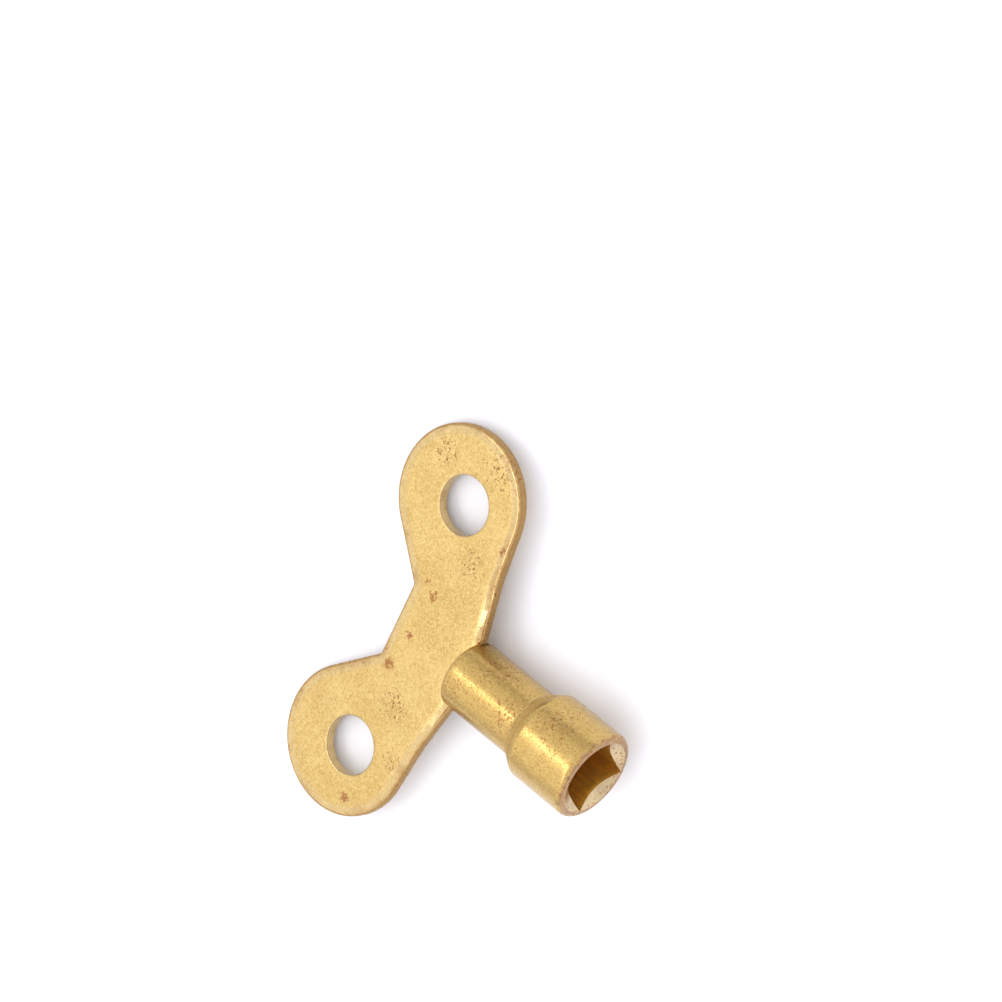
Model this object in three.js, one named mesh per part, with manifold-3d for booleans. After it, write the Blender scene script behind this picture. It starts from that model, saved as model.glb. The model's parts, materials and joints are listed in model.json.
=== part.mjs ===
// Radiator bleed key: a stamped brass wing plate with two round eyes, pressed into the slotted and domed end
// of a turned brass stem. The stem widens over a conical shoulder to a collar, which holds the square socket
// that turns a radiator's bleed valve.
//
// Units are millimetres. Both pieces are made in the key's own frame: X runs through the two eyes, Y along
// the stem and away from its mouth, and Z is square to the plate, with the origin midway between the eyes.
// The whole key is then tipped to lie as it does on a table, on the stem's domed end and on the backs of the
// two lobes, with its mouth raised.
import * as THREE from 'three';
import { mergeVertices } from 'three/addons/utils/BufferGeometryUtils.js';
import Module from 'manifold-3d';

// Wing plate
const EYE_SPACING = 28;
const EYE_DIAMETER = 5.9;
const LOBE_RADIUS = 7.5;
const LOBE_RISE = 0.8; // each lobe's centre stands this far above its eye
const PLATE_THICKNESS = 1.2;
const PLATE_EDGE_RADIUS = 0.38;
const NOTCH_WIDTH = 8.1; // the straight middle of the top edge
const NOTCH_Y = 1.4;
const NOTCH_FILLET = 0.6;
const BEND_SPACING = 19.4; // the two shallow bends of the bottom edge
const BEND_Y = -7.2;
const BEND_FILLET = 12;
const SEAT_WIDTH = 6.8; // the straight middle of the bottom edge, inside the stem's slot
const SEAT_Y = -8.5;
const TONGUE_WIDTH = 4.4;
const TONGUE_LENGTH = 1.6;

// Stem
const STEM_RADIUS = 3.62;
const STEM_END_Y = -8.45;
const DOME_HEIGHT = 1.1;
const SHOULDER_TOP_Y = -17.2;
const SHOULDER_FOOT_Y = -18.8;
const SHOULDER_TOP_FILLET = 0.6;
const SHOULDER_FOOT_FILLET = 0.9;
const COLLAR_RADIUS = 4.7;
const MOUTH_Y = -25.82;
const MOUTH_FILLET = 0.58;

// Socket
const SQUARE_ACROSS_FLATS = 5.6;
const SQUARE_DEPTH = 7.5;
const SQUARE_TURN = THREE.MathUtils.degToRad(41.3);
const COUNTERSINK_RADIUS = 3.93;
const DRILL_POINT_HALF_ANGLE = THREE.MathUtils.degToRad(59);
const PILOT_RADIUS = 2.75;
const PILOT_DEPTH = 13.5;

// Room between the plate and the slot that it is pressed into
const GAP = 0.25;

// Fineness of the faceted shapes
const ARC_STEP = THREE.MathUtils.degToRad(9);
const EYE_SIDES = 36;
const TURNED_SIDES = 48;
const EDGE_STEPS = 3;
const DOME_STEPS = 6;
const OVERCUT = 1; // how far a cutting tool starts outside the metal

const BRASS = new THREE.Color(0xd8b974);

const wasm = await Module();
wasm.setup();

/** Points along an arc, both ends included. */
function arcPoints(centre, radius, from, to) {
  const steps = Math.max(2, Math.ceil(Math.abs(to - from) / ARC_STEP));
  const points = [];
  for (let i = 0; i <= steps; i += 1) {
    const angle = from + ((to - from) * i) / steps;
    points.push(new THREE.Vector2(radius * Math.cos(angle), radius * Math.sin(angle)).add(centre));
  }
  return points;
}

/** The arc of one radius that rounds the corner between two straight edges. */
function filletPoints(before, corner, after, radius) {
  const back = before.clone().sub(corner).normalize();
  const ahead = after.clone().sub(corner).normalize();
  const halfAngle = Math.acos(back.dot(ahead)) / 2;
  const reach = radius / Math.tan(halfAngle);
  const inward = back.clone().add(ahead).normalize();
  const centre = corner.clone().addScaledVector(inward, radius / Math.sin(halfAngle));
  const from = corner.clone().addScaledVector(back, reach).sub(centre).angle();
  let to = corner.clone().addScaledVector(ahead, reach).sub(centre).angle();
  if (to - from > Math.PI) {
    to -= 2 * Math.PI;
  }
  if (to - from < -Math.PI) {
    to += 2 * Math.PI;
  }
  return arcPoints(centre, radius, from, to);
}

/** The angle at which the straight edge from a point touches a circle, on the side given by +1 or -1. */
function tangentAngle(point, centre, radius, side) {
  const toPoint = point.clone().sub(centre);
  return toPoint.angle() + side * Math.acos(radius / toPoint.length());
}

/** Right half of the wing's outline, from the middle of its top edge to the tip of its tongue. */
function rightHalfOfWing() {
  const lobe = new THREE.Vector2(EYE_SPACING / 2, LOBE_RISE);
  const notch = new THREE.Vector2(NOTCH_WIDTH / 2, NOTCH_Y);
  const bend = new THREE.Vector2(BEND_SPACING / 2, BEND_Y);
  const seat = new THREE.Vector2(SEAT_WIDTH / 2, SEAT_Y);
  const upper = tangentAngle(notch, lobe, LOBE_RADIUS, -1);
  const lower = tangentAngle(bend, lobe, LOBE_RADIUS, 1) - 2 * Math.PI;
  const round = arcPoints(lobe, LOBE_RADIUS, upper, lower);
  return [
    ...filletPoints(new THREE.Vector2(0, NOTCH_Y), notch, round[0], NOTCH_FILLET),
    ...round,
    ...filletPoints(round.at(-1), bend, seat, BEND_FILLET),
    seat,
    new THREE.Vector2(TONGUE_WIDTH / 2, SEAT_Y),
    new THREE.Vector2(TONGUE_WIDTH / 2, SEAT_Y - TONGUE_LENGTH),
  ];
}

/** The stamped plate, with its edges and the rims of its eyes rounded over. */
function wingPlate() {
  const right = rightHalfOfWing();
  const left = right.map((point) => new THREE.Vector2(-point.x, point.y)).reverse();
  const wing = new THREE.Shape([...right, ...left]);
  for (const side of [-1, 1]) {
    const eye = [];
    for (let i = 0; i < EYE_SIDES; i += 1) {
      const angle = (2 * Math.PI * i) / EYE_SIDES;
      const radius = EYE_DIAMETER / 2;
      eye.push(new THREE.Vector2((side * EYE_SPACING) / 2 + radius * Math.cos(angle), radius * Math.sin(angle)));
    }
    wing.holes.push(new THREE.Path(eye));
  }
  const plate = new THREE.ExtrudeGeometry(wing, {
    depth: PLATE_THICKNESS - 2 * PLATE_EDGE_RADIUS,
    bevelThickness: PLATE_EDGE_RADIUS,
    bevelSize: PLATE_EDGE_RADIUS,
    bevelOffset: -PLATE_EDGE_RADIUS,
    bevelSegments: EDGE_STEPS,
  });
  return plate.translate(0, 0, PLATE_EDGE_RADIUS - PLATE_THICKNESS / 2);
}

/** A closed three.js geometry as a solid that can be cut. */
function solidOf(geometry) {
  const bare = geometry.clone();
  bare.deleteAttribute('normal');
  bare.deleteAttribute('uv');
  const merged = mergeVertices(bare);
  const mesh = new wasm.Mesh({
    numProp: 3,
    vertProperties: new Float32Array(merged.attributes.position.array),
    triVerts: new Uint32Array(merged.index.array),
  });
  return new wasm.Manifold(mesh);
}

/** A cut solid as a three.js geometry again. */
function geometryOf(solid) {
  const mesh = solid.getMesh();
  const geometry = new THREE.BufferGeometry();
  geometry.setAttribute('position', new THREE.BufferAttribute(mesh.vertProperties, 3));
  geometry.setIndex(new THREE.BufferAttribute(mesh.triVerts, 1));
  return geometry;
}

/** The stem's outside, turned about Y: collar, shoulder, shank and domed end, with no holes in it yet. */
function turnedBlank() {
  const mouthCentre = new THREE.Vector2(0, MOUTH_Y);
  const mouthEdge = new THREE.Vector2(COLLAR_RADIUS, MOUTH_Y);
  const shoulderFoot = new THREE.Vector2(COLLAR_RADIUS, SHOULDER_FOOT_Y);
  const shoulderTop = new THREE.Vector2(STEM_RADIUS, SHOULDER_TOP_Y);
  const stemEnd = new THREE.Vector2(STEM_RADIUS, STEM_END_Y);
  const dome = [];
  for (let i = 0; i < DOME_STEPS; i += 1) {
    const angle = (Math.PI * i) / (2 * DOME_STEPS);
    dome.push(new THREE.Vector2(STEM_RADIUS * Math.cos(angle), STEM_END_Y + DOME_HEIGHT * Math.sin(angle)));
  }
  const profile = [
    mouthCentre,
    ...filletPoints(mouthCentre, mouthEdge, shoulderFoot, MOUTH_FILLET),
    ...filletPoints(mouthEdge, shoulderFoot, shoulderTop, SHOULDER_FOOT_FILLET),
    ...filletPoints(shoulderFoot, shoulderTop, stemEnd, SHOULDER_TOP_FILLET),
    ...dome,
    new THREE.Vector2(0, STEM_END_Y + DOME_HEIGHT),
  ];
  return new THREE.LatheGeometry(profile, TURNED_SIDES);
}

/** The broached square, from outside the mouth to its floor. */
function squareBroach() {
  const length = SQUARE_DEPTH + OVERCUT;
  const square = new THREE.BoxGeometry(SQUARE_ACROSS_FLATS, length, SQUARE_ACROSS_FLATS);
  square.rotateY(SQUARE_TURN);
  return square.translate(0, MOUTH_Y - OVERCUT + length / 2, 0);
}

/** The pilot hole under the square, with its conical drill point. */
function pilotDrill() {
  const floor = MOUTH_Y + PILOT_DEPTH;
  const profile = [
    new THREE.Vector2(0, MOUTH_Y - OVERCUT),
    new THREE.Vector2(PILOT_RADIUS, MOUTH_Y - OVERCUT),
    new THREE.Vector2(PILOT_RADIUS, floor),
    new THREE.Vector2(0, floor + PILOT_RADIUS / Math.tan(DRILL_POINT_HALF_ANGLE)),
  ];
  return new THREE.LatheGeometry(profile, TURNED_SIDES);
}

/** The countersink that breaks the square's edges into four crescents at the mouth. */
function countersink() {
  const slope = Math.tan(DRILL_POINT_HALF_ANGLE);
  const profile = [
    new THREE.Vector2(0, MOUTH_Y - OVERCUT),
    new THREE.Vector2(COUNTERSINK_RADIUS + OVERCUT * slope, MOUTH_Y - OVERCUT),
    new THREE.Vector2(0, MOUTH_Y + COUNTERSINK_RADIUS / slope),
  ];
  return new THREE.LatheGeometry(profile, TURNED_SIDES);
}

/** The slot across the domed end, and the deeper pocket for the tongue below it. */
function plateSeat() {
  const thickness = PLATE_THICKNESS + 2 * GAP;
  const slotFloor = SEAT_Y - GAP;
  const slotHeight = STEM_END_Y + DOME_HEIGHT + OVERCUT - slotFloor;
  const slot = new THREE.BoxGeometry(2 * (STEM_RADIUS + OVERCUT), slotHeight, thickness);
  slot.translate(0, slotFloor + slotHeight / 2, 0);
  const pocketHeight = TONGUE_LENGTH + 1;
  const pocket = new THREE.BoxGeometry(TONGUE_WIDTH + 2 * GAP, pocketHeight, thickness);
  pocket.translate(0, slotFloor - TONGUE_LENGTH + pocketHeight / 2, 0);
  return solidOf(slot).add(solidOf(pocket));
}

/** The one-piece turned stem with its socket. */
function socketStem() {
  const stem = solidOf(turnedBlank())
    .subtract(solidOf(squareBroach()))
    .subtract(solidOf(pilotDrill()))
    .subtract(solidOf(countersink()))
    .subtract(plateSeat());
  return geometryOf(stem);
}

/**
 * How far the key tips about X to lie on a table. Seen from the side, it rests on the ellipse of the stem's
 * domed end and on the circle that rounds the back edge of the lobes. The tilt is the one at which both reach
 * equally far down, found by halving.
 */
function restingTilt() {
  const lobeY = LOBE_RISE + LOBE_RADIUS - PLATE_EDGE_RADIUS;
  const lobeZ = PLATE_THICKNESS / 2 - PLATE_EDGE_RADIUS;
  let low = 0;
  let high = Math.PI / 4;
  for (let i = 0; i < 40; i += 1) {
    const tilt = (low + high) / 2;
    const sine = Math.sin(tilt);
    const cosine = Math.cos(tilt);
    const domeReach = STEM_END_Y * sine + Math.hypot(DOME_HEIGHT * sine, STEM_RADIUS * cosine);
    const lobeReach = lobeY * sine + lobeZ * cosine + PLATE_EDGE_RADIUS;
    if (domeReach > lobeReach) {
      low = tilt;
    } else {
      high = tilt;
    }
  }
  return low;
}

/** One piece of the key, in polished brass. */
function brassPiece(name, geometry) {
  const material = new THREE.MeshStandardMaterial({ color: BRASS, roughness: 0.35, metalness: 1 });
  const piece = new THREE.Mesh(geometry, material);
  piece.name = name;
  return piece;
}

const key = new THREE.Group();
key.add(brassPiece('wing_plate', wingPlate()));
key.add(brassPiece('socket_stem', socketStem()));
key.rotation.x = -restingTilt();

// The origin is on the table, under the middle of the key.
const extent = new THREE.Box3().setFromObject(key, true);
const middle = extent.getCenter(new THREE.Vector3());
key.position.set(-middle.x, -middle.y, -extent.min.z);

export default key;
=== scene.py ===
"""Radiator bleed key: the looks of a stamped wing plate and a turned socket stem, both in tumbled brass.

The shapes are worked out in the key's own frame, in millimetres: X through the two eyes, Y along the stem and
away from its mouth, Z square to the plate. key_to_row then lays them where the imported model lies.
"""

import json
import math

import bmesh
import bpy
import numpy as np
from mathutils import Euler, Matrix, Vector
from mathutils.geometry import delaunay_2d_cdt


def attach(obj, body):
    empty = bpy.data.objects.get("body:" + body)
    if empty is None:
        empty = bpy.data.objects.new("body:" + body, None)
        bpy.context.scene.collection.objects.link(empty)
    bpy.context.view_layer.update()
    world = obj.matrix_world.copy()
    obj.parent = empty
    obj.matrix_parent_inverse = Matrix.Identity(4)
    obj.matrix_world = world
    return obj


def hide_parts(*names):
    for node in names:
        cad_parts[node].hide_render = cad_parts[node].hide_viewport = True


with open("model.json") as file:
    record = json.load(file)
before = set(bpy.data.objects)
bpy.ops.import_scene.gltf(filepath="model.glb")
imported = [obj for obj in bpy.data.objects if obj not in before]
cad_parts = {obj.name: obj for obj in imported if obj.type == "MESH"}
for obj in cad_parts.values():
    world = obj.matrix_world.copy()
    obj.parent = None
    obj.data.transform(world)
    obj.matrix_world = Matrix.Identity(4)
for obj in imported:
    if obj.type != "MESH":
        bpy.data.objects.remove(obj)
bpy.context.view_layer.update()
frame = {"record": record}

# ---------------------------------------------------------------- sizes, in mm

EYE_SPACING = 28.0
EYE_RADIUS = 2.95
LOBE_RADIUS = 7.5
LOBE_RISE = 0.8
PLATE_THICKNESS = 1.2
FRONT_ROLL = 0.36  # the stamping rolls the front edge over more than the back one
BACK_ROLL = 0.28
EYE_ROLL = 0.12
NOTCH_WIDTH = 8.1
NOTCH_Y = 1.4
NOTCH_FILLET = 0.55
BEND_SPACING = 19.4
BEND_Y = -7.2
BEND_FILLET = 14.0
SEAT_WIDTH = 6.8
SEAT_Y = -8.5
SEAT_FILLET = 1.5

STEM_RADIUS = 3.62
STEM_END_Y = -8.45
DOME_HEIGHT = 1.1
SHOULDER_TOP_Y = -17.2
SHOULDER_FOOT_Y = -18.8
SHOULDER_TOP_FILLET = 0.5
SHOULDER_FOOT_FILLET = 0.9
COLLAR_RADIUS = 4.7
MOUTH_Y = -25.82
MOUTH_FILLET = 0.58

SQUARE_HALF = 2.8
SQUARE_CORNER = 0.14
SQUARE_DEPTH = 7.5
SQUARE_TURN = math.radians(-41.3)  # from X towards Z, to the middle of one flat
FLAT_MOUNT_DEPTH = 4.5
COUNTERSINK_RADIUS = 3.93
DRILL_POINT = math.tan(math.radians(59))
PILOT_RADIUS = 2.75
PILOT_DEPTH = 13.5
BROKEN_EDGE = 0.05
SLOT_SLACK = 0.15
SLOT_CLEARANCE = 0.02

MM = 0.001


def mount(name):
    """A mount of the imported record."""
    return next(m for m in frame["record"]["mounts"] if m["name"] == name)


def key_frame():
    """The matrix from the key's own frame, in mm, to the row frame, in metres, read off the two mounts."""
    mouth_axis = mount("socket_mouth")["axis"]
    tilt = math.atan2(mouth_axis[2], -mouth_axis[1])
    turn = Matrix.Rotation(-tilt, 3, "X")
    flat = mount("socket_flat")
    flat_normal = turn.inverted() @ Vector(flat["axis"])
    flat_point = Vector((0, MOUTH_Y + FLAT_MOUNT_DEPTH, 0)) - flat_normal * SQUARE_HALF
    place = Vector(flat["pos_m"]) - turn @ flat_point * MM
    return Matrix.Translation(place) @ turn.to_4x4() @ Matrix.Scale(MM, 4)


key_to_row = key_frame()

# ---------------------------------------------------------------- camera

CAMERA_AIM = Vector((15.41, 6.85, 0)) * MM
CAMERA_TURN = Euler([math.radians(a) for a in (-10.251, 28.341, -62.901)])
CAMERA_DISTANCE = 479.67 * MM
CAMERA_LENS = 179.7


def add_camera():
    """A long lens, looking down at the key from beside its mouth."""
    data = bpy.data.cameras.new("camera")
    data.lens = CAMERA_LENS
    data.sensor_width = 36
    data.clip_start = 0.01
    camera = bpy.data.objects.new("camera", data)
    bpy.context.collection.objects.link(camera)
    camera.rotation_euler = CAMERA_TURN
    camera.location = CAMERA_AIM + CAMERA_TURN.to_matrix() @ Vector((0, 0, CAMERA_DISTANCE))
    bpy.context.scene.camera = camera


# ---------------------------------------------------------------- outlines

def arc(centre, radius, start, end, step=math.radians(2.5)):
    """Points along an arc, both ends included."""
    count = max(3, math.ceil(abs(end - start) / step))
    angles = np.linspace(start, end, count + 1)
    return np.column_stack([centre[0] + radius * np.cos(angles), centre[1] + radius * np.sin(angles)])


def fillet(before, corner, after, radius, step=math.radians(10)):
    """The arc of one radius that rounds the corner between two straight edges."""
    before, corner, after = (np.asarray(p, float) for p in (before, corner, after))
    back = (before - corner) / np.linalg.norm(before - corner)
    ahead = (after - corner) / np.linalg.norm(after - corner)
    half = math.acos(float(back @ ahead)) / 2
    inward = (back + ahead) / np.linalg.norm(back + ahead)
    centre = corner + inward * radius / math.sin(half)
    first = corner + back * radius / math.tan(half) - centre
    last = corner + ahead * radius / math.tan(half) - centre
    start = math.atan2(first[1], first[0])
    swing = math.atan2(last[1], last[0]) - start
    swing = (swing + math.pi) % (2 * math.pi) - math.pi
    return arc(centre, radius, start, start + swing, step)


def tangent_angle(point, centre, radius, side):
    """Where on a circle the straight edge from a point touches it, on the side given by +1 or -1."""
    to_point = np.subtract(point, centre)
    return math.atan2(to_point[1], to_point[0]) + side * math.acos(radius / np.linalg.norm(to_point))


def spread(points, spacing):
    """The same open line with its long edges divided, so that no two points are far apart."""
    out = [points[0]]
    for a, b in zip(points[:-1], points[1:]):
        pieces = max(1, math.ceil(np.linalg.norm(b - a) / spacing))
        out += [a + (b - a) * i / pieces for i in range(1, pieces + 1)]
    return np.array(out)


def wing_outline():
    """The wing plate's outline, anticlockwise, at its widest, half way through its thickness."""
    lobe = (EYE_SPACING / 2, LOBE_RISE)
    notch = (NOTCH_WIDTH / 2, NOTCH_Y)
    bend = (BEND_SPACING / 2, BEND_Y)
    seat = (SEAT_WIDTH / 2, SEAT_Y)
    upper = tangent_angle(notch, lobe, LOBE_RADIUS, -1) % (2 * math.pi)
    lower = tangent_angle(bend, lobe, LOBE_RADIUS, 1) % (2 * math.pi) - 2 * math.pi
    tip = arc(lobe, LOBE_RADIUS, lower, upper)
    right = np.vstack([
        [(0, SEAT_Y)],
        fillet((0, SEAT_Y), seat, bend, SEAT_FILLET),
        fillet(seat, bend, tip[0], BEND_FILLET, math.radians(1.5)),
        tip,
        fillet(tip[-1], notch, (0, NOTCH_Y), NOTCH_FILLET),
        [(0, NOTCH_Y)],
    ])
    right = spread(right, 0.3)
    left = right[::-1][1:-1] * (-1, 1)
    return np.vstack([right, left])


def eye_outline(side):
    """One eye's outline, anticlockwise."""
    return arc((side * EYE_SPACING / 2, 0), EYE_RADIUS, 0, 2 * math.pi, math.radians(5))[:-1]


def shifted(loop, distance):
    """An anticlockwise loop moved inwards by a distance, or outwards by a negative one."""
    along = np.roll(loop, -1, axis=0) - np.roll(loop, 1, axis=0)
    along /= np.linalg.norm(along, axis=1)[:, None]
    return loop + np.column_stack([-along[:, 1], along[:, 0]]) * distance


# ---------------------------------------------------------------- the plate's faces

def dome_foot():
    """Where the stem's dome meets either face of the plate, as points along the curve."""
    level = PLATE_THICKNESS / 2 / STEM_RADIUS
    shrink = math.sqrt(1 - level**2)
    angles = np.linspace(-0.25, math.pi + 0.25, 240)
    across = STEM_RADIUS * shrink * np.cos(angles)
    along = STEM_END_Y + DOME_HEIGHT * shrink * np.sin(angles)
    return np.column_stack([across, along])


DOME_FOOT = dome_foot()


def dome_distance(points):
    """How far each point of a face is outside the foot of the dome; negative under it."""
    gaps = np.linalg.norm(points[:, None, :] - DOME_FOOT[None, :, :], axis=2).min(axis=1)
    reach = ((points[:, 0] / STEM_RADIUS) ** 2 + ((points[:, 1] - STEM_END_Y) / DOME_HEIGHT) ** 2) < 1
    under = reach | (points[:, 1] < STEM_END_Y) & (np.abs(points[:, 0]) < STEM_RADIUS)
    return np.where(under, -gaps, gaps)


def hump(x, middle, width):
    """A smooth bump of height 1."""
    return np.exp(-(((x - middle) / width) ** 2))


RIPPLE_HEIGHT = 0.014
RIPPLE_WAVES = 9
RIPPLE_LENGTHS = (3.0, 11.0)


def ripple(points, seed):
    """Slow, shallow unevenness of tumbled sheet: a few long waves of no fixed direction, about +-1."""
    rng = np.random.default_rng(seed)
    total = np.zeros(len(points))
    for _ in range(RIPPLE_WAVES):
        heading = rng.uniform(0, 2 * math.pi)
        length = rng.uniform(*RIPPLE_LENGTHS)
        phase = rng.uniform(0, 2 * math.pi)
        across = points @ (math.cos(heading), math.sin(heading))
        total += np.sin(2 * math.pi * across / length + phase) * length / 25
    return total


DIP_DEPTH = 0.14
DIP_REACH = 0.85
FLARE_DEPTH = 0.24
FLARE_REACH = 0.95
FLARE_SPREAD = 3.6


def relief(points, gaps, seed):
    """How far a face stands proud of flat: pressed down round the dome and beside it, and rippled."""
    uneven = 1 + 0.3 * np.sin(points[:, 0] * 0.9 + seed) + 0.1 * np.sin(points[:, 0] * 3.1 + 2 * seed)
    dip = -DIP_DEPTH * uneven * hump(np.maximum(dome_distance(points), 0), 0, DIP_REACH)
    beside = hump(np.abs(points[:, 0]), SEAT_WIDTH / 2 + 1, FLARE_SPREAD) * (points[:, 1] < SEAT_Y + 4)
    flare = -FLARE_DEPTH * beside * np.maximum(0, 1 - gaps / FLARE_REACH) ** 2
    return dip + flare + RIPPLE_HEIGHT * ripple(points, seed)


def inside(points, loop):
    """Whether each point lies inside a closed loop, by counting crossings."""
    x, y = points[:, 0][:, None], points[:, 1][:, None]
    a, b = loop, np.roll(loop, -1, axis=0)
    crosses = (a[:, 1] > y) != (b[:, 1] > y)
    rise = np.where(b[:, 1] == a[:, 1], 1e-12, b[:, 1] - a[:, 1])
    where = a[:, 0] + (y - a[:, 1]) * (b[:, 0] - a[:, 0]) / rise
    return ((crosses & (x < where)).sum(axis=1) % 2).astype(bool)


def nearest(points, others):
    """Each point's distance to the nearest of some other points."""
    return np.array([math.sqrt(np.min(np.sum((others - p) ** 2, axis=1))) for p in points])


FACE_REACH_X = 22  # the grid that fills a face reaches a little past the plate's outline
FACE_REACH_Y = 9
DOME_ZONE = 1.5  # the points stand closer together within this distance of the dome
DOME_SPACING = 0.09
FACE_SPACING = 0.4
ROW_SPACING = 0.87  # between rows, as a share of the spacing in them, for triangles with near equal sides


def face_points(rim, eyes):
    """Points that fill a face between its rims, close together round the dome and further apart elsewhere."""
    kept = []
    borders = np.vstack([rim, *eyes])
    for spacing, near in ((DOME_SPACING, True), (FACE_SPACING, False)):
        xs = np.arange(-FACE_REACH_X, FACE_REACH_X, spacing)
        ys = np.arange(-FACE_REACH_Y, FACE_REACH_Y, spacing * ROW_SPACING)
        grid = np.array([(x + (row % 2) * spacing / 2, y) for row, y in enumerate(ys) for x in xs])
        if near:
            # Nothing beyond this is near the dome, and the close grid is large.
            grid = grid[(np.abs(grid[:, 0]) < 6) & (grid[:, 1] < -5)]
        close = dome_distance(grid) < DOME_ZONE
        grid = grid[close if near else ~close]
        grid = grid[inside(grid, rim)]
        for eye in eyes:
            grid = grid[~inside(grid, eye)]
        kept.append(grid[nearest(grid, borders) > 0.5 * spacing])
    return np.vstack(kept)


ROLL_STEPS = 6


def edge_rows(loop, roll, is_eye):
    """One border's rows from its wall up over its rolled edge, each as (loop, height, share of the way)."""
    depth = EYE_ROLL if is_eye else roll
    sign = -1 if is_eye else 1
    rows = []
    for i in range(ROLL_STEPS + 1):
        angle = math.pi / 2 * i / ROLL_STEPS
        inset = depth * (1 - math.cos(angle))
        height = PLATE_THICKNESS / 2 - depth * (1 - math.sin(angle))
        rows.append((shifted(loop, sign * inset), height, i / ROLL_STEPS))
    return rows


EYE_EDGE_GAP = 0.35  # the eyes' walls count as this far from the tarnished outer edge


def build_plate():
    """The stamped plate: two relieved faces, rolled edges and walls, as one closed mesh.

    Its edge_gap attribute tells the material how near the outer edge is. It is -1 on the wall, rises to 0
    over the rolled edge, and on the face it is the distance from there in mm.
    """
    mesh = bmesh.new()
    edge_gap = mesh.verts.layers.float.new("edge_gap")
    loops = [wing_outline(), eye_outline(-1), eye_outline(1)]
    walls = []
    for z_sign, roll, seed in ((1, FRONT_ROLL, 3), (-1, BACK_ROLL, 8)):
        rims = []
        wall = []
        for index, loop in enumerate(loops):
            previous = None
            for points, height, share in edge_rows(loop, roll, index > 0):
                lift = relief(points, np.zeros(len(points)), seed) * share**2
                row = [mesh.verts.new((x, y, z_sign * (height + dz))) for (x, y), dz in zip(points, lift)]
                for vert in row:
                    vert[edge_gap] = EYE_EDGE_GAP if index else share - 1
                if previous:
                    join_rows(mesh, previous, row, closed=True)
                else:
                    wall.append(row)
                previous = row
            rims.append((points, previous))
        fill_face(mesh, rims, z_sign, seed, edge_gap)
        walls.append(wall)
    for front, back in zip(*walls):
        join_rows(mesh, front, back, closed=True)
    return finished_mesh("wing_plate_brass", mesh)


def fill_face(mesh, rims, z_sign, seed, edge_gap):
    """Triangles between a face's rims, through its relieved points."""
    loops = [points for points, _ in rims]
    fill = face_points(loops[0], loops[1:])
    flat = [Vector(p) for p in np.vstack(loops + [fill])]
    borders = []
    start = 0
    for loop in loops:
        count = len(loop)
        borders.append([start + i for i in range(count)])
        start += count
    edges = [(loop[i], loop[(i + 1) % len(loop)]) for loop in borders for i in range(len(loop))]
    found, _, triangles, origins, _, _ = delaunay_2d_cdt(flat, edges, [], 0, 1e-6)
    gaps = nearest(fill, loops[0])
    heights = PLATE_THICKNESS / 2 + relief(fill, gaps, seed)
    verts = [v for _, row in rims for v in row]
    for (x, y), z, gap in zip(fill, heights, gaps):
        vert = mesh.verts.new((x, y, z_sign * z))
        vert[edge_gap] = gap
        verts.append(vert)
    source = [verts[o[0]] for o in origins]
    spots = np.array([v[:] for v in found])
    middles = np.array([spots[list(t)].mean(axis=0) for t in triangles])
    solid = inside(middles, loops[0])
    for eye in loops[1:]:
        solid &= ~inside(middles, eye)
    for triangle, keep in zip(triangles, solid):
        if keep:
            mesh.faces.new([source[i] for i in triangle])


# ---------------------------------------------------------------- mesh helpers

def join_rows(mesh, first, second, closed):
    """Faces between two rows of as many points each."""
    count = len(first) if closed else len(first) - 1
    for i in range(count):
        j = (i + 1) % len(first)
        mesh.faces.new((first[i], first[j], second[j], second[i]))


SHARP_EDGE = math.radians(32)


def finished_mesh(name, mesh):
    """A bmesh as a scene object in the row frame, smooth but for its sharp edges."""
    bmesh.ops.recalc_face_normals(mesh, faces=mesh.faces)
    for face in mesh.faces:
        face.smooth = True
    for edge in mesh.edges:
        edge.smooth = len(edge.link_faces) == 2 and edge.calc_face_angle() < SHARP_EDGE
    data = bpy.data.meshes.new(name)
    mesh.transform(key_to_row)
    mesh.to_mesh(data)
    mesh.free()
    piece = bpy.data.objects.new(name, data)
    bpy.context.collection.objects.link(piece)
    return piece


# ---------------------------------------------------------------- the stem

def column_angles():
    """Angles about the stem, from X towards Z, closer together near the square's corners."""
    steps = np.linspace(-1, 1, 49)[:-1]
    swing = np.sign(steps) * np.abs(steps) ** 1.5 * math.pi / 4
    corner = SQUARE_TURN + math.pi / 4
    return np.concatenate([corner + swing + k * math.pi / 2 for k in range(4)])


def square_radius(angles, half):
    """Distance from the axis to the wall of the round-cornered square."""
    beside = (angles - SQUARE_TURN + math.pi / 4) % (math.pi / 2) - math.pi / 4
    flat = half / np.cos(beside)
    middle = half - SQUARE_CORNER
    turn = np.abs(beside)
    across = middle * (np.sin(turn) - np.cos(turn))
    root = np.sqrt(np.maximum(SQUARE_CORNER**2 - across**2, 0))
    rounded = middle * (np.cos(turn) + np.sin(turn)) + root
    on_corner = half * np.tan(turn) > middle
    return np.where(on_corner, rounded, flat)


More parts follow.
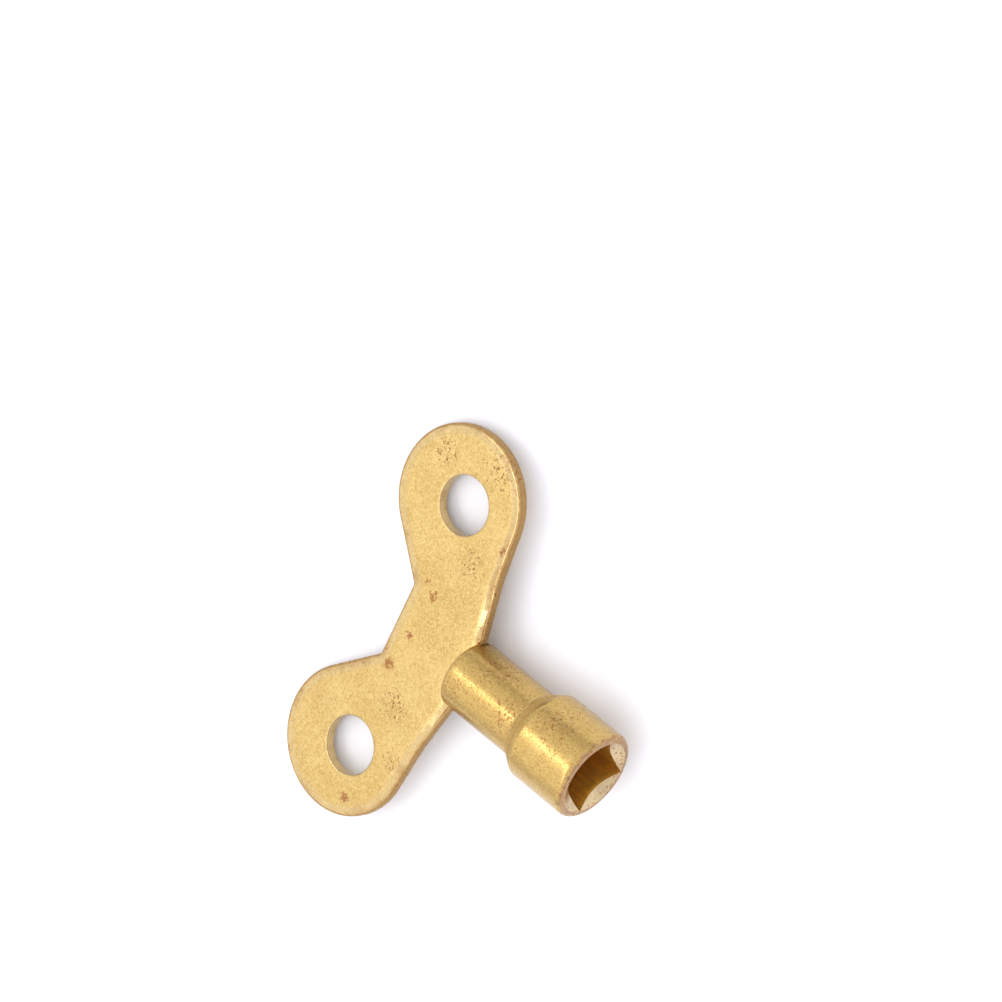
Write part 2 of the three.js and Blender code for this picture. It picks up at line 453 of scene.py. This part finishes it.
def outer_profile():
    """The stem's outside from the rim of its mouth to the tip of its dome, as (radius, y)."""
    cone = (COUNTERSINK_RADIUS - 1, MOUTH_Y + 1 / DRILL_POINT)
    rim = (COUNTERSINK_RADIUS, MOUTH_Y)
    mouth = (COLLAR_RADIUS, MOUTH_Y)
    foot = (COLLAR_RADIUS, SHOULDER_FOOT_Y)
    top = (STEM_RADIUS, SHOULDER_TOP_Y)
    end = (STEM_RADIUS, STEM_END_Y)
    angles = np.linspace(0, math.pi / 2, 17)[:-1]
    dome = np.column_stack([STEM_RADIUS * np.cos(angles), STEM_END_Y + DOME_HEIGHT * np.sin(angles)])
    line = np.vstack([
        fillet(cone, rim, mouth, BROKEN_EDGE, math.radians(15)),
        fillet(rim, mouth, foot, MOUTH_FILLET, math.radians(9)),
        fillet(mouth, foot, top, SHOULDER_FOOT_FILLET, math.radians(5)),
        fillet(foot, top, end, SHOULDER_TOP_FILLET, math.radians(5)),
        dome,
    ])
    return spread(line, 0.5)


def build_stem():
    """The turned stem: pilot hole, square socket, countersink and outside, as one closed mesh.

    Its rows start near the tip of the pilot hole, come out through the socket and go back along the outside.
    """
    mesh = bmesh.new()
    angles = column_angles()
    rows = []

    def ring(radii, heights):
        radii = np.broadcast_to(radii, angles.shape)
        heights = np.broadcast_to(heights, angles.shape)
        points = zip(radii * np.cos(angles), heights, radii * np.sin(angles))
        rows.append([mesh.verts.new(p) for p in points])

    square_floor = MOUTH_Y + SQUARE_DEPTH
    pilot_floor = MOUTH_Y + PILOT_DEPTH
    square = square_radius(angles, SQUARE_HALF)
    lip = MOUTH_Y + (COUNTERSINK_RADIUS - square) / DRILL_POINT

    # The cone and the wall of the pilot hole.
    for share in (0.25, 0.5, 0.75, 0.97):
        ring(share * PILOT_RADIUS, pilot_floor + (1 - share) * PILOT_RADIUS / DRILL_POINT)
    for height in np.linspace(pilot_floor - 0.05, square_floor + 0.05, 6):
        ring(PILOT_RADIUS, height)
    # The ledge and the wall of the square.
    for share in (0.06, 0.5, 0.94):
        ring(PILOT_RADIUS + (square - PILOT_RADIUS) * share, square_floor)
    for share in np.linspace(0.01, 1, 14):
        ring(square, square_floor + (lip + BROKEN_EDGE - square_floor) * share)
    # The countersink, then everything outside it.
    for share in (0.02, 0.35, 0.7):
        cone = square + (COUNTERSINK_RADIUS - BROKEN_EDGE - square) * share
        ring(cone, MOUTH_Y + (COUNTERSINK_RADIUS - cone) / DRILL_POINT)
    for radius, height in outer_profile():
        ring(radius, height)

    for first, second in zip(rows[:-1], rows[1:]):
        join_rows(mesh, first, second, closed=True)
    ends = ((rows[0], pilot_floor + PILOT_RADIUS / DRILL_POINT), (rows[-1], STEM_END_Y + DOME_HEIGHT))
    for row, height in ends:
        tip = mesh.verts.new((0, height, 0))
        for i, vert in enumerate(row):
            mesh.faces.new((vert, row[(i + 1) % len(row)], tip))
    stem = finished_mesh("socket_stem_brass", mesh)
    cut_slot(stem)
    return stem


def cut_slot(stem):
    """Cuts the slot that the plate sits in across the domed end."""
    cutter_mesh = bmesh.new()
    width = 2 * STEM_RADIUS + 2
    height = DOME_HEIGHT + 1
    size = Matrix.Diagonal((width, height, PLATE_THICKNESS + SLOT_CLEARANCE, 1))
    middle = Matrix.Translation((0, SEAT_Y - SLOT_SLACK + height / 2, 0))
    bmesh.ops.create_cube(cutter_mesh, size=1, matrix=middle @ size)
    cutter = finished_mesh("slot_cutter", cutter_mesh)
    slot = stem.modifiers.new("slot", "BOOLEAN")
    slot.operation = "DIFFERENCE"
    slot.solver = "EXACT"
    slot.object = cutter
    graph = bpy.context.evaluated_depsgraph_get()
    cut = bpy.data.meshes.new_from_object(stem.evaluated_get(graph), depsgraph=graph)
    stem.modifiers.clear()
    stem.data = cut
    bpy.data.objects.remove(cutter)


# ---------------------------------------------------------------- materials

# The mix node has sockets of every type under the same names, so its colours are found by number.
MIX_FIRST_COLOUR = 6
MIX_SECOND_COLOUR = 7
MIX_COLOUR = 2


class Nodes:
    """Short calls for building one node tree."""

    def __init__(self, tree):
        self.tree = tree
        tree.nodes.clear()

    def add(self, kind, inputs=None, **settings):
        """A new node with its settings made and its inputs fed."""
        node = self.tree.nodes.new(kind)
        for name, value in settings.items():
            setattr(node, name, value)
        for name, value in (inputs or {}).items():
            self.feed(node.inputs[name], value)
        return node

    def feed(self, socket, value):
        """Links an input to another node's output, or sets it to a plain value."""
        if isinstance(value, bpy.types.NodeSocket):
            self.tree.links.new(value, socket)
        else:
            socket.default_value = value

    def noise(self, coords, scale, detail=3.0, rough=0.55):
        """Cloudy noise about 0.5, finer the larger its scale."""
        inputs = {"Vector": coords, "Scale": scale, "Detail": detail, "Roughness": rough}
        return self.add("ShaderNodeTexNoise", inputs).outputs["Fac"]

    def ramp(self, value, low, high, to_low=0.0, to_high=1.0):
        """A value mapped smoothly from one range to another, and held at its ends."""
        inputs = {"Value": value, "From Min": low, "From Max": high, "To Min": to_low, "To Max": to_high}
        return self.add("ShaderNodeMapRange", inputs, interpolation_type="SMOOTHSTEP").outputs["Result"]

    def math(self, operation, first, second=0.0, third=0.0):
        node = self.add("ShaderNodeMath", operation=operation)
        for socket, value in zip(node.inputs, (first, second, third)):
            self.feed(socket, value)
        return node.outputs[0]

    def times(self, first, *others):
        for other in others:
            first = self.math("MULTIPLY", first, other)
        return first

    def total(self, first, *others):
        for other in others:
            first = self.math("ADD", first, other)
        return first

    def vector(self, operation, first, second):
        return self.add("ShaderNodeVectorMath", {0: first, 1: second}, operation=operation)

    def mix(self, share, first, second):
        """The first colour, taken some share of the way to the second."""
        node = self.add("ShaderNodeMix", data_type="RGBA")
        self.feed(node.inputs["Factor"], share)
        self.feed(node.inputs[MIX_FIRST_COLOUR], first)
        self.feed(node.inputs[MIX_SECOND_COLOUR], second)
        return node.outputs[MIX_COLOUR]

    def key_coords(self):
        """The shaded point in the key's own frame, in mm."""
        row = self.add("ShaderNodeTexCoord").outputs["Object"]
        place, turn, size = key_to_row.inverted().decompose()
        inputs = {"Vector": row, "Location": place, "Rotation": turn.to_euler(), "Scale": size}
        return self.add("ShaderNodeMapping", inputs).outputs[0]

    def brass_output(self, colour, rough, height, distance):
        """Bare metal of this colour, roughness and height map, as the material's surface."""
        bump = {"Height": height, "Strength": BUMP_STRENGTH, "Distance": distance}
        normal = self.add("ShaderNodeBump", bump).outputs[0]
        look = {"Base Color": colour, "Metallic": 1.0, "Roughness": rough, "Normal": normal}
        surface = self.add("ShaderNodeBsdfPrincipled", look)
        out = self.add("ShaderNodeOutputMaterial")
        self.tree.links.new(surface.outputs[0], out.inputs[0])


def rgb(red, green, blue):
    return (red, green, blue, 1.0)


PALE_BRASS = rgb(0.64, 0.467, 0.188)
WARM_BRASS = rgb(0.44, 0.283, 0.09)
DEEP_BRASS = rgb(0.48, 0.305, 0.08)
WALL_BROWN = rgb(0.42, 0.26, 0.09)
RIM_BROWN = rgb(0.34, 0.185, 0.075)
TARNISH = rgb(0.28, 0.10, 0.04)
COPPERY = rgb(0.35, 0.205, 0.13)
CREAM = rgb(0.61, 0.48, 0.30)
SOCKET_BROWN = rgb(0.95, 0.5, 0.04)
CARD_WHITE = rgb(0.93, 0.94, 0.985)
TENT_WHITE = rgb(0.97, 0.97, 1.0)

BUMP_STRENGTH = 0.7
PLATE_BUMP = 0.06 * MM
STEM_BUMP = 0.01 * MM

# Where brown shows: the place in mm, and how far it spreads.
UPPER_FACE = PLATE_THICKNESS / 2
PLATE_SPOTS = (
    ((4.4, -1.3, UPPER_FACE), 0.5),
    ((-4.4, -0.1, UPPER_FACE), 0.6),
    ((-0.5, -0.7, UPPER_FACE), 0.4),
    ((-18.9, -2.0, UPPER_FACE), 0.5),
    ((12.7, -6.1, UPPER_FACE), 0.36),
    ((5.2, 0.1, UPPER_FACE), 0.3),
)
PLATE_SPECKLES = (
    ((19.6, -2.4, UPPER_FACE), 2.6),
    ((9.4, -3.4, UPPER_FACE), 1.8),
    ((-7.5, -2.8, UPPER_FACE), 1.9),
    ((-12.5, -5.2, UPPER_FACE), 1.5),
    ((17.5, 4.5, UPPER_FACE), 1.8),
)
STEM_SPECKLES = (
    ((-0.6, -9.4, 3.5), 1.6),
    ((1.0, -16.2, 3.5), 1.8),
    ((3.4, -12.5, 1.2), 2.2),
    ((3.6, -21.5, 3.0), 2.4),
)


def patches(n, at, places, softness):
    """1 inside any of some round patches, falling smoothly to 0 outside."""
    inside_any = 0.0
    for place, radius in places:
        distance = n.vector("DISTANCE", at, place).outputs["Value"]
        patch = n.ramp(distance, radius * (1 - softness), radius * (1 + softness), 1.0, 0.0)
        inside_any = n.math("MAXIMUM", patch, inside_any)
    return inside_any


def stretched(n, at, scale):
    """Coordinates squeezed along each axis, to draw streaks."""
    return n.vector("MULTIPLY", at, scale).outputs[0]


def tumbled(n, at, speckled, warmth, contrast, low_rough):
    """What all the brass shares: its colour, its roughness, its bump height and its brown specks."""
    grain = n.noise(at, 4.2, 3.0, 0.7)
    fine = n.noise(at, 7.5, 2.0, 0.65)
    clouds = n.noise(at, 0.25, 4.0, 0.6)
    tone = n.total(
        n.ramp(clouds, 0.3, 0.7, -0.05, 0.25),
        n.ramp(grain, 0.3, 0.7, -0.45 * contrast, 0.45 * contrast),
        n.ramp(fine, 0.3, 0.7, -0.4 * contrast, 0.4 * contrast),
        warmth,
    )
    colour = n.mix(tone, PALE_BRASS, WARM_BRASS)
    level = n.math("SUBTRACT", 0.71, n.times(speckled, 0.155))
    specks = n.ramp(n.noise(at, 3.8, 3.0, 0.65), level, n.total(level, 0.08))
    rough = n.total(n.ramp(fine, 0.3, 0.7, low_rough, low_rough + 0.1), n.times(specks, 0.2))
    height = n.total(n.times(grain, 0.8), n.times(fine, 0.6), n.times(specks, -0.5))
    return colour, rough, height, specks


def plate_brass():
    """The plate: pale and cloudy faces, rolled edges painted paler as a highlight, brown walls and a few dark
    spots and specks.
    """
    material = bpy.data.materials.new("plate_brass")
    material.use_nodes = True
    n = Nodes(material.node_tree)
    at = n.key_coords()
    gap = n.add("ShaderNodeAttribute", attribute_name="edge_gap").outputs["Fac"]
    wander = n.ramp(n.noise(at, 0.9, 3.0), 0.3, 0.7, -0.3, 0.3)
    edge = n.ramp(n.total(gap, wander), -0.2, 0.55, 1.0, 0.0)
    roll = n.times(n.ramp(gap, -0.6, -0.3), n.ramp(gap, 0.3, 0.9, 1.0, 0.0))
    wall = n.ramp(n.total(gap, n.times(wander, 0.6)), -0.7, -0.3, 1.0, 0.0)

    near_rim = n.ramp(n.total(gap, wander), -0.1, 0.6, 1.0, 0.0)
    stained = n.times(near_rim, n.ramp(n.noise(at, 0.3, 3.0), 0.46, 0.56))
    speckled = n.math("MAXIMUM", patches(n, at, PLATE_SPECKLES, 0.6), n.times(wall, 0.5))
    speckled = n.math("MAXIMUM", speckled, n.times(stained, 0.9))
    colour, rough, height, specks = tumbled(n, at, speckled, warmth=0.36, contrast=0.75, low_rough=0.3)

    jitter = n.add("ShaderNodeTexNoise", {"Vector": at, "Scale": 2.6, "Detail": 3.0}).outputs["Color"]
    jitter = n.vector("MULTIPLY", n.vector("SUBTRACT", jitter, (0.5, 0.5, 0.5)).outputs[0], (1.2, 1.2, 1.2))
    frayed = n.vector("ADD", at, jitter.outputs[0]).outputs[0]
    spots = n.times(patches(n, frayed, PLATE_SPOTS, 0.35), n.ramp(n.noise(at, 4.5, 2.0), 0.35, 0.5))

    # Deeper brass towards the outer edge: partly tarnish, partly painted shade for the darker surroundings
    # that the rolled edges reflect.
    colour = n.mix(n.times(edge, 0.2), colour, DEEP_BRASS)
    outermost = n.ramp(n.total(gap, n.times(wander, 0.5)), -0.35, 0.1, 1.0, 0.0)
    rim = n.times(outermost, n.ramp(n.noise(at, 2.0, 3.0), 0.3, 0.6, 0.35, 1.0))
    # Paler brass over the rolled edge: a painted highlight for the bright line that the roll catches.
    colour = n.mix(n.times(roll, 0.3), colour, CREAM)
    colour = n.mix(n.times(wall, 0.7), colour, WALL_BROWN)
    colour = n.mix(n.math("MAXIMUM", n.times(rim, 0.6), n.times(stained, 0.4)), colour, RIM_BROWN)
    colour = n.mix(n.times(n.math("MAXIMUM", specks, spots), 0.87), colour, TARNISH)
    rough = n.math("SUBTRACT", n.total(rough, n.times(wall, 0.15)), n.times(roll, 0.2))
    height = n.times(height, n.math("SUBTRACT", 1.0, n.times(roll, 0.85)))
    n.brass_output(colour, rough, height, PLATE_BUMP)
    return material


def stem_brass():
    """The stem: warmer brass, a coppery ring round the mouth, pale cut facets and a brown socket."""
    material = bpy.data.materials.new("stem_brass")
    material.use_nodes = True
    n = Nodes(material.node_tree)
    at = n.key_coords()
    split = n.add("ShaderNodeSeparateXYZ", {0: at})
    x, y, z = split.outputs
    radius = n.math("SQRT", n.total(n.times(x, x), n.times(z, z)))
    from_mouth = n.math("SUBTRACT", y, MOUTH_Y)
    bore_reach = n.ramp(from_mouth, SQUARE_DEPTH, SQUARE_DEPTH + 0.3, COUNTERSINK_RADIUS, PILOT_RADIUS + 0.3)
    before_floor = n.math("LESS_THAN", from_mouth, PILOT_DEPTH + 2)
    in_bore = n.times(n.math("LESS_THAN", radius, bore_reach), before_floor)
    cone = n.math("DIVIDE", n.math("SUBTRACT", COUNTERSINK_RADIUS, radius), DRILL_POINT)
    past_cone = n.math("GREATER_THAN", n.math("SUBTRACT", from_mouth, cone), 0.03)
    socket = n.times(in_bore, past_cone)
    facet = n.times(in_bore, n.math("SUBTRACT", 1.0, past_cone))
    outside = n.math("SUBTRACT", 1.0, in_bore)

    rim = n.ramp(from_mouth, 0.2, 0.9, 1.1, 0.0)
    speckled = n.math("MAXIMUM", n.ramp(patches(n, at, STEM_SPECKLES, 0.7), 0.0, 1.0, 0.66, 1.1), rim)
    speckled = n.times(speckled, n.math("SUBTRACT", 1.0, socket))
    colour, rough, height, specks = tumbled(n, at, speckled, warmth=0.46, contrast=1.2, low_rough=0.2)
    turning = n.noise(stretched(n, at, (0.3, 5.0, 0.3)), 1.0, 3.0, 0.6)
    height = n.total(height, n.times(turning, outside, 0.5))

    wander = n.ramp(n.noise(at, 1.6, 3.0), 0.3, 0.7, -0.14, 0.14)
    ring = n.times(outside, n.ramp(n.total(from_mouth, wander), 0.02, 0.42, 1.0, 0.0))
    broached = n.ramp(n.noise(stretched(n, at, (7.0, 0.15, 7.0)), 1.0, 3.0, 0.6), 0.35, 0.7, 0.5, 1.0)
    stain = n.ramp(n.noise(at, 1.3, 3.0, 0.6), 0.3, 0.7, 0.55, 1.0)
    inner = n.mix(n.times(broached, stain), WARM_BRASS, SOCKET_BROWN)

    ring = n.times(ring, n.ramp(n.noise(at, 3.0, 3.0, 0.7), 0.35, 0.6, 0.55, 1.0))
    past_foot = n.ramp(y, SHOULDER_FOOT_Y, SHOULDER_FOOT_Y + 0.6)
    before_top = n.ramp(y, SHOULDER_TOP_Y - 0.5, SHOULDER_TOP_Y + 0.3, 1.0, 0.0)
    neck = n.times(past_foot, before_top, outside)
    nearly_top = n.ramp(y, SHOULDER_TOP_Y - 1.0, SHOULDER_TOP_Y - 0.5)
    not_past_top = n.ramp(y, SHOULDER_TOP_Y - 0.1, SHOULDER_TOP_Y + 0.3, 1.0, 0.0)
    shoulder_highlight = n.times(nearly_top, not_past_top, outside)
    rough = n.total(rough, n.times(neck, 0.4), n.times(socket, 0.25))

    # Paler brass along the top of the shoulder: a painted highlight for the light line at the fillet there.
    colour = n.mix(n.times(shoulder_highlight, 0.7), colour, PALE_BRASS)
    marks = n.ramp(n.noise(stretched(n, at, (4.5, 1.1, 4.5)), 1.0, 2.0, 0.5), 0.62, 0.72)
    colour = n.mix(n.times(outside, 0.35), colour, DEEP_BRASS)
    colour = n.mix(n.times(ring, 0.85), colour, COPPERY)
    colour = n.mix(n.times(facet, 0.75), colour, CREAM)
    colour = n.mix(n.times(socket, 0.95), colour, inner)
    colour = n.mix(n.math("MAXIMUM", n.times(specks, 0.8), n.times(marks, outside, 0.4)), colour, TARNISH)
    n.brass_output(colour, rough, height, STEM_BUMP)
    return material


def paper_floor():
    """Matt white card, a little cool."""
    material = bpy.data.materials.new("floor_card")
    material.use_nodes = True
    n = Nodes(material.node_tree)
    surface = n.add("ShaderNodeBsdfPrincipled", {"Base Color": CARD_WHITE, "Roughness": 0.9})
    out = n.add("ShaderNodeOutputMaterial")
    n.tree.links.new(surface.outputs[0], out.inputs[0])
    return material


# ---------------------------------------------------------------- light and floor

TENT_GLOW = 1.47
HORIZON_GLOW = 0.88
FLOOR_RADIUS = 4.0

STRIP_FIRST = (0.17, 0.61, 0.775)
STRIP_LAST = (-0.37, 0.15, 0.917)
STRIP_DISTANCE = 0.7
STRIP_WIDTH = 0.1
STRIP_RADIANCE = 3.6


def add_strip_light():
    """A long softbox that faces the key and reaches from one direction to another."""
    first = Vector(STRIP_FIRST).normalized()
    last = Vector(STRIP_LAST).normalized()
    length = 2 * STRIP_DISTANCE * math.tan(first.angle(last) / 2) + STRIP_WIDTH
    data = bpy.data.lights.new("strip", "AREA")
    data.shape = "RECTANGLE"
    data.size = length
    data.size_y = STRIP_WIDTH
    data.energy = STRIP_RADIANCE * math.pi * length * STRIP_WIDTH
    lamp = bpy.data.objects.new("strip", data)
    bpy.context.collection.objects.link(lamp)
    outward = (first + last).normalized()
    along = (last - first).normalized()
    turn = Matrix((along, outward.cross(along), outward)).transposed().to_4x4()
    lamp.matrix_world = Matrix.Translation(outward * STRIP_DISTANCE) @ turn


def add_floor():
    bpy.ops.mesh.primitive_circle_add(vertices=96, radius=FLOOR_RADIUS, fill_type="NGON", location=(0, 0, 0))
    floor = bpy.context.object
    floor.name = "floor"
    floor.data.materials.append(paper_floor())


def add_world():
    """A white tent, bright overhead, darker towards the horizon and a little brighter from -X."""
    world = bpy.data.worlds.new("studio")
    bpy.context.scene.world = world
    world.use_nodes = True
    n = Nodes(world.node_tree)
    direction = n.add("ShaderNodeTexCoord").outputs["Generated"]
    sideways, _, height = n.add("ShaderNodeSeparateXYZ", {0: direction}).outputs
    glow = n.ramp(height, 0.0, 0.6, HORIZON_GLOW, TENT_GLOW)
    strength = n.times(glow, n.ramp(sideways, -1.0, 1.0, 1.08, 0.9))
    back = n.add("ShaderNodeBackground", {"Color": TENT_WHITE, "Strength": strength})
    out = n.add("ShaderNodeOutputWorld")
    n.tree.links.new(back.outputs[0], out.inputs[0])


# ---------------------------------------------------------------- the scene

add_camera()
plate = build_plate()
stem = build_stem()
plate.data.materials.append(plate_brass())
stem.data.materials.append(stem_brass())

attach(plate, "root")
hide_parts("wing_plate")
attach(stem, "root")
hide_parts("socket_stem")

add_floor()
add_world()
add_strip_light()

bpy.context.scene.view_settings.view_transform = "Standard"
